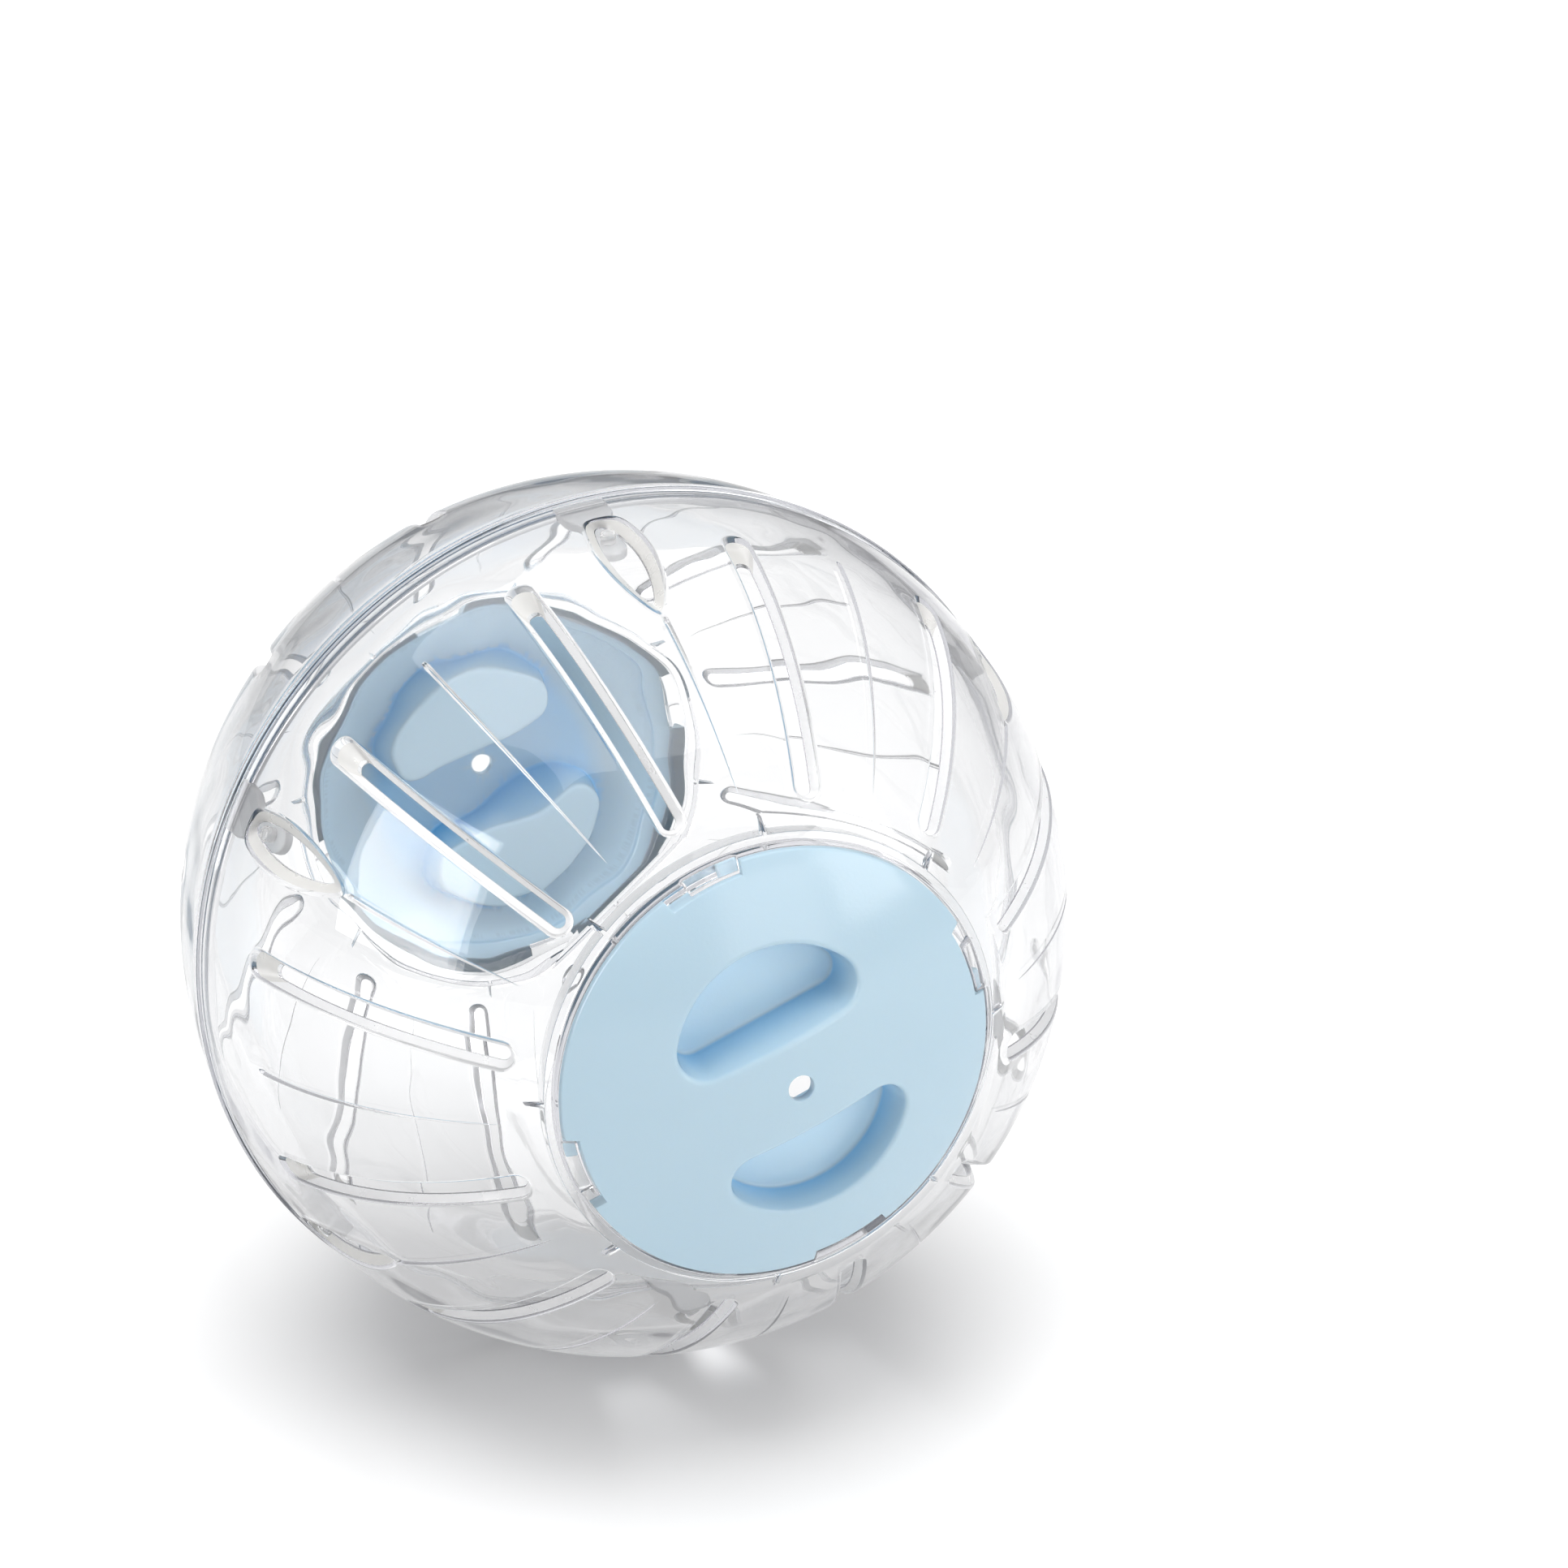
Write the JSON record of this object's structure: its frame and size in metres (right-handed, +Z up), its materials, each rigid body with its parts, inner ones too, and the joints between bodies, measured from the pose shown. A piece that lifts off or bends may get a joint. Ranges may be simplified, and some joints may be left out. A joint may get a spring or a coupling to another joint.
{
  "type": "hamster ball",
  "caption": "Hollow clear exercise ball for a small rodent, with air slots round both halves and a twist-off door with finger recesses at each end.",
  "frame": {"origin": "centre of the ball", "axes": "+Y along the rolling axis towards the rear door, +Z up, the seam in the XZ plane"},
  "size_m": [0.14, 0.1386, 0.14],
  "materials": {
    "clear_shell": "clear, polished",
    "door": "pale blue, satin"
  },
  "bodies": {
    "shells": {"front_shell": "clear_shell", "rear_shell": "clear_shell"},
    "front_door_body": {"front_door": "door"},
    "rear_door_body": {"rear_door": "door"}
  },
  "joints": [
    {"name": "front_door_twist", "type": "hinge", "parent": "shells", "child": "front_door_body", "pos_m": [0, 0, 0], "axis": [0, 1, 0], "range_deg": [0, 5.2]},
    {"name": "rear_door_twist", "type": "hinge", "parent": "shells", "child": "rear_door_body", "pos_m": [0, 0, 0], "axis": [0, -1, 0], "range_deg": [0, 5.2]}
  ]
}
